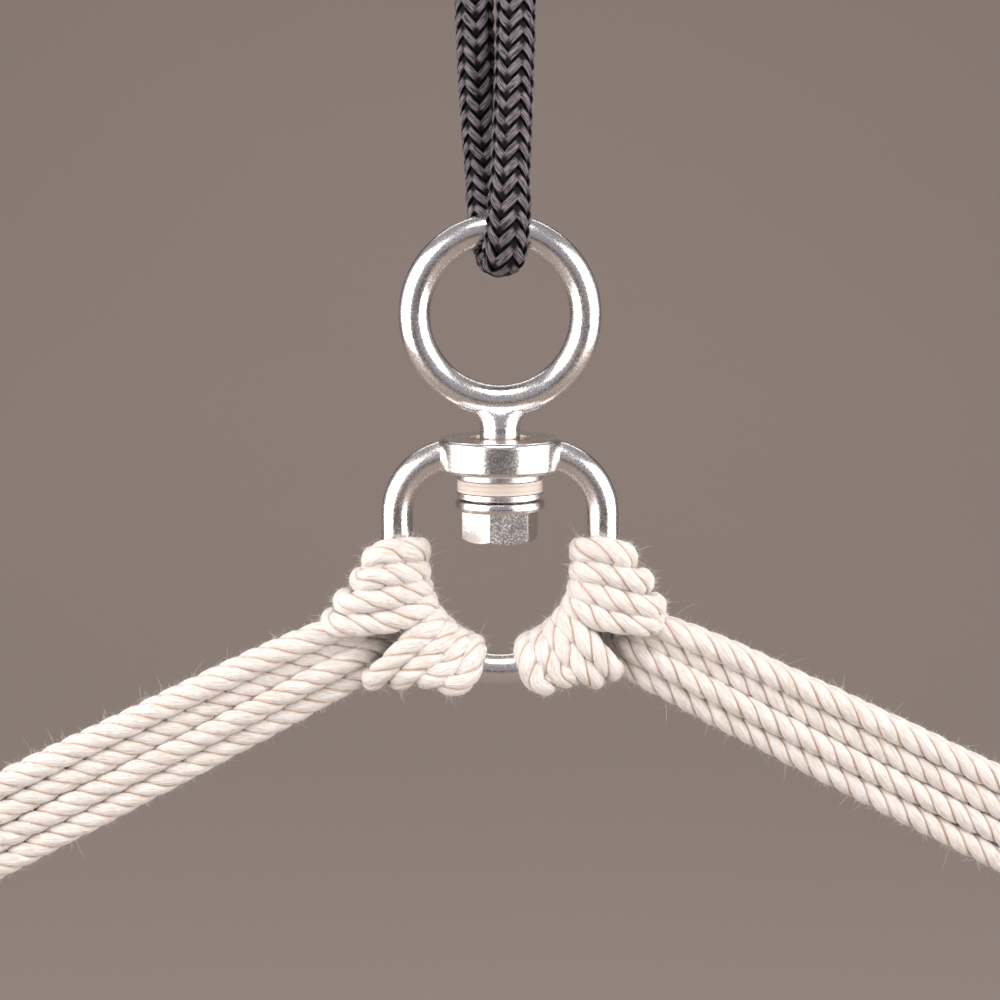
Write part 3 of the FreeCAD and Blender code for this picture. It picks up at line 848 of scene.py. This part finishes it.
def make_cage(material):
    """The plastic cage, with two fine lines round it and a pocket for each ball."""
    low, high = CAGE
    outline = [(CAGE_BORE, low), (CAGE_RADIUS, low)]
    for share in (0.3, 0.7):
        middle = low + (high - low) * share
        outline += [
            (CAGE_RADIUS, middle - CAGE_LINE_HALF),
            (CAGE_RADIUS - CAGE_LINE_DEPTH, middle),
            (CAGE_RADIUS, middle + CAGE_LINE_HALF),
        ]
    outline += [(CAGE_RADIUS, high), (CAGE_BORE, high)]
    piece = turned("ball_cage", outline)
    angles = [2 * math.pi * step / BALLS for step in range(BALLS)]
    pockets = [pocket_cutter(angle, (low + high) / 2) for angle in angles]
    select_only(pockets[0])
    for pocket in pockets:
        pocket.select_set(True)
    bpy.ops.object.join()
    combine(piece, bpy.context.object, "DIFFERENCE")
    soften(piece, 0.1)
    piece.data.materials.append(material)
    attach(piece, "cage")
    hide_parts("bearing_cage")


def make_nut(material):
    """The flanged hexagon nut: a turned flange and a turned blank cut to its hexagon."""
    low, high = NUT
    rim = high - 0.25
    flange = turned(
        "nut_flange",
        [
            (NUT_BORE, high),
            (9.0, high),
            (9.0, rim),
            (10.3, rim - 0.05),
            (11.0, rim - 0.4),
            (FLANGE_RADIUS, rim - 1.0),
            (FLANGE_RADIUS, rim - 2.0),
            (11.0, rim - 2.65),
            (10.3, rim - 2.95),
            (9.2, rim - 3.1),
            (NUT_BORE, rim - 3.1),
        ],
    )
    soften(flange, 0.15)
    body = turned(
        "nut_body",
        [
            (NUT_BORE, rim - 2.6),
            (9.85, rim - 2.6),
            (9.85, low + 0.85),
            (8.45, low),
            (NUT_BORE, low),
        ],
    )
    bpy.ops.object.select_all(action="DESELECT")
    bpy.ops.mesh.primitive_cylinder_add(
        vertices=6,
        radius=ACROSS_FLATS / math.sqrt(3) * MM,
        depth=30 * MM,
        location=(0, 0, (low + high) / 2 * MM),
        rotation=(0, 0, math.radians(NUT_CORNER - 30)),
    )
    combine(body, bpy.context.object, "INTERSECT")
    soften(body, 0.22)
    select_only(body)
    flange.select_set(True)
    bpy.ops.object.join()
    body.name = "flanged_nut"
    body.data.materials.append(material)
    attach(body, "eye")
    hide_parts("flange_nut")


# ---------------------------------------------------------------- materials


def add(tree, kind, **settings):
    """A node with its own settings; a setting that is an input's name fills that input."""
    made = tree.nodes.new(kind)
    for name, value in settings.items():
        if name in made.inputs:
            made.inputs[name].default_value = value
        else:
            setattr(made, name, value)
    return made


def calculate(tree, operation, first, second):
    """A maths node of two inputs, each a number or another node's output."""
    made = add(tree, "ShaderNodeMath", operation=operation)
    for socket, value in zip(made.inputs, (first, second)):
        if isinstance(value, (int, float)):
            socket.default_value = value
        else:
            tree.links.new(value, socket)
    return made.outputs[0]


def effect_group(name, inputs, outputs):
    """An empty node group with float inputs and outputs."""
    group = bpy.data.node_groups.new(name, "ShaderNodeTree")
    for label, value in inputs.items():
        socket = group.interface.new_socket(label, in_out="INPUT", socket_type="NodeSocketFloat")
        socket.default_value = value
    for label in outputs:
        group.interface.new_socket(label, in_out="OUTPUT", socket_type="NodeSocketFloat")
    return group, group.nodes.new("NodeGroupInput"), group.nodes.new("NodeGroupOutput")


def fibre_group():
    """Yarns and fine fibres that run along a strand and twist slowly round it."""
    if "fibres" in bpy.data.node_groups:
        return bpy.data.node_groups["fibres"]
    group, inside, outside = effect_group(
        "fibres", {"Across": 45, "Along": 3, "Twist": 0.5}, ["Height", "Streak", "Blotch"]
    )

    def times(first, second):
        return calculate(group, "MULTIPLY", first, second)

    uv = add(group, "ShaderNodeUVMap", uv_map="UVMap")
    split = add(group, "ShaderNodeSeparateXYZ")
    group.links.new(uv.outputs[0], split.inputs[0])
    along, around = split.outputs[0], split.outputs[1]
    twisted = calculate(group, "ADD", around, times(along, inside.outputs["Twist"]))
    layers = []
    for fine in (1, 2.6):
        spot = add(group, "ShaderNodeCombineXYZ")
        along_yarn = times(along, times(inside.outputs["Along"], fine))
        across_yarn = times(twisted, times(inside.outputs["Across"], fine))
        group.links.new(along_yarn, spot.inputs[0])
        group.links.new(across_yarn, spot.inputs[1])
        noise = add(group, "ShaderNodeTexNoise", Scale=1.0, Detail=2.0, Roughness=0.6)
        group.links.new(spot.outputs[0], noise.inputs["Vector"])
        layers.append(noise.outputs[0])
    place = add(group, "ShaderNodeTexCoord")
    blotch = add(group, "ShaderNodeTexNoise", Scale=180.0, Detail=2.0)
    group.links.new(place.outputs["Object"], blotch.inputs["Vector"])
    mixed = calculate(group, "ADD", times(layers[0], 0.6), times(layers[1], 0.6))
    group.links.new(mixed, outside.inputs["Height"])
    group.links.new(layers[0], outside.inputs["Streak"])
    group.links.new(blotch.outputs[0], outside.inputs["Blotch"])
    return group


def grain_group():
    """Fine grain of worked metal and cloudy handling marks."""
    if "metal_grain" in bpy.data.node_groups:
        return bpy.data.node_groups["metal_grain"]
    group, inside, outside = effect_group(
        "metal_grain", {"Grain": 2600, "Cloud": 130}, ["Height", "Cloudy"]
    )
    place = add(group, "ShaderNodeTexCoord")
    grain = add(group, "ShaderNodeTexNoise", Detail=2.0, Roughness=0.7)
    cloud = add(group, "ShaderNodeTexNoise", Detail=3.0, Roughness=0.6)
    for noise, label in ((grain, "Grain"), (cloud, "Cloud")):
        group.links.new(inside.outputs[label], noise.inputs["Scale"])
        group.links.new(place.outputs["Object"], noise.inputs["Vector"])
    group.links.new(grain.outputs[0], outside.inputs["Height"])
    group.links.new(cloud.outputs[0], outside.inputs["Cloudy"])
    return group


def new_material(name, group, **values):
    """A material with one effect group placed in it."""
    material = bpy.data.materials.new(name)
    material.use_nodes = True
    tree = material.node_tree
    effect = add(tree, "ShaderNodeGroup", node_tree=group)
    for label, value in values.items():
        effect.inputs[label].default_value = value
    return material, tree, tree.nodes["Principled BSDF"], effect.outputs


def spread(tree, value, low, high, out_low, out_high):
    """Map a value from one range to another."""
    ranged = add(tree, "ShaderNodeMapRange")
    ranged.inputs["From Min"].default_value = low
    ranged.inputs["From Max"].default_value = high
    ranged.inputs["To Min"].default_value = out_low
    ranged.inputs["To Max"].default_value = out_high
    tree.links.new(value, ranged.inputs["Value"])
    return ranged.outputs[0]


def blend_colours(tree, share, first, second):
    """Mix two colours, each a colour or another node's output."""
    mix = add(tree, "ShaderNodeMix", data_type="RGBA")
    tree.links.new(share, mix.inputs[0])
    for socket, value in ((mix.inputs[6], first), (mix.inputs[7], second)):
        if isinstance(value, bpy.types.NodeSocket):
            tree.links.new(value, socket)
        else:
            socket.default_value = (*value, 1)
    return mix.outputs[2]


def darker(colour, shares):
    """A colour with each channel cut to its share."""
    return [value * share for value, share in zip(colour, shares)]


def raise_surface(tree, shader, height, distance):
    """Bump a shader's normal by a height, to a distance in millimetres."""
    bump = add(tree, "ShaderNodeBump", Distance=distance * MM, Strength=1.0)
    tree.links.new(height, bump.inputs["Height"])
    tree.links.new(bump.outputs[0], shader.inputs["Normal"])


def rope_material(name, face, deep, across, along, bump, roughness):
    """Laid or braided rope: pale crowns, painted shade in the gaps and fine fibres along the
    strands.
    """
    if name in bpy.data.materials:
        return bpy.data.materials[name]
    material, tree, shader, fibre = new_material(name, fibre_group(), Across=across, Along=along)
    hollow = add(tree, "ShaderNodeAttribute", attribute_name="hollow").outputs["Fac"]
    # This share paints shade into the gaps between strands, darkening the face towards the deep
    # colour.
    painted_shade_share = spread(tree, hollow, 0.25, 1.0, 0, 1)
    shaded = blend_colours(tree, painted_shade_share, face, deep)
    streak = spread(tree, fibre["Streak"], 0.36, 0.55, 0.0, 1.0)
    dark = darker(face, (0.86, 0.775, 0.7))
    threads = blend_colours(tree, spread(tree, fibre["Blotch"], 0.3, 0.6, 0.35, 1.0), face, dark)
    worn = blend_colours(tree, streak, threads, face)
    colour = blend_colours(tree, painted_shade_share, worn, shaded)
    tree.links.new(colour, shader.inputs["Base Color"])
    shader.inputs["Roughness"].default_value = roughness
    raise_surface(tree, shader, fibre["Height"], bump)
    return material


def cotton_material(finishes):
    """Soft matt cotton with a little sheen from its nap."""
    # The deep colour is the painted shade between strands.
    face, deep = finishes.cotton, finishes.cotton_painted_shade
    material = rope_material("laid_cotton", face, deep, 15, 2.2, 0.8, 0.92)
    shader = material.node_tree.nodes["Principled BSDF"]
    shader.inputs["Sheen Weight"].default_value = 0.35
    shader.inputs["Sheen Roughness"].default_value = 0.5
    shader.inputs["Specular IOR Level"].default_value = 0.2
    return material


def braid_material(finishes):
    """Black filament yarn: grey painted sheen on the crowns, streaked by filaments, and black
    painted shade where a carrier dives.
    """
    if "black_braid" in bpy.data.materials:
        return bpy.data.materials["black_braid"]
    material, tree, shader, fibre = new_material(
        "black_braid", fibre_group(), Across=24, Along=3.0, Twist=0.0
    )
    hollow = add(tree, "ShaderNodeAttribute", attribute_name="hollow").outputs["Fac"]
    # This share paints shade where a carrier dives and along its edges.
    painted_shade_share = spread(tree, hollow, 0.2, 0.44, 0, 1)
    streak = spread(tree, fibre["Streak"], 0.42, 0.56, 0.0, 1.0)
    # The crown's grey is painted sheen on black yarn, broken into streaks along the filaments.
    between = darker(finishes.braid, (0.16, 0.16, 0.16))
    crown = blend_colours(tree, streak, between, finishes.braid)
    colour = blend_colours(tree, painted_shade_share, crown, (0.004, 0.0038, 0.0042))
    tree.links.new(colour, shader.inputs["Base Color"])
    tree.links.new(spread(tree, hollow, 0.1, 0.6, 0.42, 0.75), shader.inputs["Roughness"])
    shader.inputs["Specular IOR Level"].default_value = 0.18
    raise_surface(tree, shader, fibre["Height"], 0.3)
    return material


def metal_material(name, colour, rough_low, rough_high, grain, bump, stain):
    """Worked metal: grain, cloudy polish and a faint warm stain."""
    if name in bpy.data.materials:
        return bpy.data.materials[name]
    material, tree, shader, effect = new_material(name, grain_group(), Grain=grain)
    warm = darker(colour, (0.86, 0.74, 0.6))
    stained = spread(tree, effect["Cloudy"], 0.5, 0.72, 0.0, stain)
    tint = blend_colours(tree, stained, colour, warm)
    tree.links.new(tint, shader.inputs["Base Color"])
    rough = spread(tree, effect["Cloudy"], 0.3, 0.7, rough_low, rough_high)
    grained = spread(tree, effect["Height"], 0.4, 0.65, 0.0, 0.14)
    tree.links.new(calculate(tree, "ADD", rough, grained), shader.inputs["Roughness"])
    shader.inputs["Metallic"].default_value = 1.0
    raise_surface(tree, shader, effect["Height"], bump)
    return material


def cage_material(finishes):
    """Dull moulded plastic with darker greasy patches."""
    material, tree, shader, effect = new_material("moulded_plastic", grain_group(), Grain=1500)
    greasy = darker(finishes.cage, (0.7, 0.6, 0.5))
    patches = spread(tree, effect["Cloudy"], 0.48, 0.7, 0.0, 0.5)
    tint = blend_colours(tree, patches, finishes.cage, greasy)
    rough = spread(tree, effect["Cloudy"], 0.3, 0.7, 0.55, 0.38)
    tree.links.new(tint, shader.inputs["Base Color"])
    tree.links.new(rough, shader.inputs["Roughness"])
    raise_surface(tree, shader, effect["Height"], 0.02)
    return material


def repaint(node, material):
    """Give a carried-over CAD node a material of its own."""
    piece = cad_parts[node]
    for slot in piece.material_slots:
        slot.material = material


# ---------------------------------------------------------------- stage


# The camera: its focal length and sensor, how far and how steeply it looks down on the point
# below the ring's centre, in metres, degrees and millimetres.
FOCAL_LENGTH = 108
SENSOR_WIDTH = 36
CAMERA_DISTANCE = 0.75
CAMERA_PITCH = 8
AIM_BELOW_RING = 46.25

# The softboxes: place, point that each faces, width, height, power and colour.
CENTRE = (0, 0, -0.17)
SOFTBOXES = {
    "left_box": ((-0.91, -0.41, -0.08), CENTRE, 1.4, 1.3, 20, (1, 0.975, 0.96)),
    "right_box": ((0.93, -0.37, -0.08), CENTRE, 1.18, 1.3, 18, (1, 0.975, 0.96)),
    "top_box": ((0, -0.55, 0.95), CENTRE, 0.6, 0.5, 7, (1, 0.98, 0.96)),
    "back_box": ((0, 1.4, 1.3), (0, 2.4, -0.4), 2.5, 0.8, 20, (1, 0.98, 0.96)),
}

# The sweep: its plane's size, its height, how high its wall is and how wide its round corner.
FLOOR_SIZE = 8
FLOOR_HEIGHT = -0.5
WALL_HEIGHT = 5
SWEEP_RADIUS = 2.2


def area_light(name, place, aim, wide, tall, power, colour):
    """A rectangular softbox that faces a point."""
    lamp = bpy.data.lights.new(name, "AREA")
    lamp.shape = "RECTANGLE"
    lamp.size = wide
    lamp.size_y = tall
    lamp.energy = power
    lamp.color = colour
    holder = in_scene(name, lamp)
    holder.location = place
    holder.rotation_mode = "QUATERNION"
    holder.rotation_quaternion = (Vector(aim) - Vector(place)).to_track_quat("-Z", "Y")


def make_camera(context):
    """A long lens that looks slightly down on the swivel from the front."""
    camera = bpy.data.cameras.new("camera")
    camera.lens = FOCAL_LENGTH
    camera.sensor_width = SENSOR_WIDTH
    holder = in_scene("camera", camera)
    aim = Vector((0, 0, (RING_Z - AIM_BELOW_RING) * MM))
    pitch = math.radians(CAMERA_PITCH)
    holder.location = aim + CAMERA_DISTANCE * Vector((0, -math.cos(pitch), math.sin(pitch)))
    holder.rotation_mode = "QUATERNION"
    holder.rotation_quaternion = (aim - holder.location).to_track_quat("-Z", "Y")
    context.scene.camera = holder


def make_backdrop(finishes):
    """A pale floor that sweeps up into a wall behind."""
    bpy.ops.object.select_all(action="DESELECT")
    bpy.ops.mesh.primitive_plane_add(size=FLOOR_SIZE, location=(0, -0.6, FLOOR_HEIGHT))
    floor = bpy.context.object
    floor.name = "backdrop"
    bpy.ops.object.transform_apply(location=True, rotation=True, scale=True)
    bpy.ops.object.mode_set(mode="EDIT")
    bpy.ops.mesh.select_mode(type="EDGE")
    bpy.ops.mesh.select_all(action="DESELECT")
    bpy.ops.object.mode_set(mode="OBJECT")
    for edge in floor.data.edges:
        edge.select = all(floor.data.vertices[i].co.y > 3 for i in edge.vertices)
    bpy.ops.object.mode_set(mode="EDIT")
    bpy.ops.mesh.extrude_region_move(TRANSFORM_OT_translate={"value": (0, 0, WALL_HEIGHT)})
    bpy.ops.object.mode_set(mode="OBJECT")
    for edge in floor.data.edges:
        ends = [floor.data.vertices[i].co for i in edge.vertices]
        edge.select = all(end.y > 3 and end.z < 0 for end in ends)
    bpy.ops.object.mode_set(mode="EDIT")
    bpy.ops.mesh.bevel(offset=SWEEP_RADIUS, segments=32)
    bpy.ops.object.mode_set(mode="OBJECT")
    bpy.ops.object.shade_smooth()
    material, tree, shader, effect = new_material("backdrop", grain_group(), Grain=40, Cloud=1.2)
    shade = darker(finishes.backdrop, (0.94, 0.94, 0.94))
    tint = blend_colours(tree, effect["Cloudy"], finishes.backdrop, shade)
    tree.links.new(tint, shader.inputs["Base Color"])
    shader.inputs["Roughness"].default_value = 0.95
    floor.data.materials.append(material)


def make_lights(context):
    """Four softboxes and a dim, even studio round them."""
    for name, softbox in SOFTBOXES.items():
        area_light(name, *softbox)
    world = bpy.data.worlds.new("studio")
    world.use_nodes = True
    background = world.node_tree.nodes["Background"]
    background.inputs["Color"].default_value = (0.5, 0.48, 0.52, 1)
    background.inputs["Strength"].default_value = 0.62
    context.scene.world = world
    context.scene.view_settings.view_transform = "Standard"


# ---------------------------------------------------------------- operators


class SWING_OT_stage(bpy.types.Operator):
    """Add the camera, the sweep and the studio lights"""

    bl_idname = "swing.stage"
    bl_label = "Stage"

    def execute(self, context):
        make_camera(context)
        make_backdrop(context.scene.swing_finishes)
        make_lights(context)
        return {"FINISHED"}


class SWING_OT_sling(bpy.types.Operator):
    """Braid the black sling through the ring"""

    bl_idname = "swing.sling"
    bl_label = "Braided sling"

    def execute(self, context):
        make_sling_braid(context.scene.swing_ropes, braid_material(context.scene.swing_finishes))
        return {"FINISHED"}


class SWING_OT_strops(bpy.types.Operator):
    """Lay the eight cotton strops and hitch them round the bow"""

    bl_idname = "swing.strops"
    bl_label = "Cotton strops"

    def execute(self, context):
        material = cotton_material(context.scene.swing_finishes)
        strops = [(side, name) for side in SIDE for name in STROPS]
        for seed, (side, name) in enumerate(strops, start=10):
            make_strop(side, name, context.scene.swing_ropes, material, seed)
        return {"FINISHED"}


class SWING_OT_loose_fibres(bpy.types.Operator):
    """Add the loose fibres that stand off the strops"""

    bl_idname = "swing.loose_fibres"
    bl_label = "Loose fibres"

    def execute(self, context):
        material = cotton_material(context.scene.swing_finishes)
        for side in SIDE:
            make_loose_fibres(side, context.scene.swing_ropes, material)
        return {"FINISHED"}


class SWING_OT_bindings(bpy.types.Operator):
    """Wind the twine round the sling and round both bundles"""

    bl_idname = "swing.bindings"
    bl_label = "Bindings"

    def execute(self, context):
        ropes = context.scene.swing_ropes
        finishes = context.scene.swing_finishes
        # The deep colours are painted shade between strands; twine's hollow is zero, so they never
        # show.
        face, deep = (0.03, 0.028, 0.03), (0.01, 0.01, 0.01)
        black = rope_material("black_twine", face, deep, 30, 6, 0.1, 0.5)
        deep = darker(finishes.twine, (0.6, 0.6, 0.6))
        pale = rope_material("cotton_twine", finishes.twine, deep, 30, 6, 0.14, 0.85)
        make_binding(ropes, black)
        for side in SIDE:
            make_whipping(side, ropes, pale)
        return {"FINISHED"}


class SWING_OT_bearing(bpy.types.Operator):
    """Turn the races and the ball cage"""

    bl_idname = "swing.bearing"
    bl_label = "Thrust bearing"

    def execute(self, context):
        finishes = context.scene.swing_finishes
        make_races(metal_material("ground_steel", finishes.steel, 0.2, 0.32, 3200, 0.012, 0.3))
        make_cage(cage_material(finishes))
        return {"FINISHED"}


class SWING_OT_nut(bpy.types.Operator):
    """Cut the flanged nut from a turned blank"""

    bl_idname = "swing.nut"
    bl_label = "Flanged nut"

    def execute(self, context):
        finishes = context.scene.swing_finishes
        make_nut(metal_material("nut_steel", finishes.steel, 0.12, 0.2, 2400, 0.009, 0.3))
        return {"FINISHED"}


class SWING_OT_metal(bpy.types.Operator):
    """Give the eye, the bow, the bush and the balls their finishes"""

    bl_idname = "swing.metal"
    bl_label = "Metal finishes"

    def execute(self, context):
        finishes = context.scene.swing_finishes
        chrome = (0.82, 0.82, 0.82)
        polished = metal_material("polished_steel", finishes.steel, 0.13, 0.22, 2200, 0.018, 0.25)
        plated = metal_material("hard_chrome", chrome, 0.04, 0.07, 4000, 0.001, 0.0)
        sintered = metal_material("sintered_bronze", finishes.bronze, 0.3, 0.5, 3000, 0.008, 0.5)
        repaint("eye", polished)
        repaint("bow", polished)
        repaint("bearing_balls", plated)
        repaint("collar_bush", sintered)
        return {"FINISHED"}


class SWING_PT_panel(bpy.types.Panel):
    """Lists the pieces of the swing's suspension"""

    bl_idname = "SWING_PT_panel"
    bl_label = "Swing suspension"
    bl_space_type = "VIEW_3D"
    bl_region_type = "UI"
    bl_category = "Swing"

    def draw(self, context):
        for operator in OPERATORS:
            self.layout.operator(operator.bl_idname)
        for group in (context.scene.swing_ropes, context.scene.swing_finishes):
            for name in group.__annotations__:
                self.layout.prop(group, name)


OPERATORS = [
    SWING_OT_stage,
    SWING_OT_sling,
    SWING_OT_strops,
    SWING_OT_loose_fibres,
    SWING_OT_bindings,
    SWING_OT_bearing,
    SWING_OT_nut,
    SWING_OT_metal,
]
CLASSES = [RopeSizes, Finishes, *OPERATORS, SWING_PT_panel]


def register():
    for item in CLASSES:
        bpy.utils.register_class(item)
    bpy.types.Scene.swing_ropes = PointerProperty(type=RopeSizes)
    bpy.types.Scene.swing_finishes = PointerProperty(type=Finishes)


def unregister():
    del bpy.types.Scene.swing_finishes
    del bpy.types.Scene.swing_ropes
    for item in reversed(CLASSES):
        bpy.utils.unregister_class(item)


def main():
    """Build everything."""
    register()
    bpy.ops.swing.stage()
    bpy.ops.swing.sling()
    bpy.ops.swing.strops()
    bpy.ops.swing.loose_fibres()
    bpy.ops.swing.bindings()
    bpy.ops.swing.bearing()
    bpy.ops.swing.nut()
    bpy.ops.swing.metal()


if __name__ == "__main__":
    main()
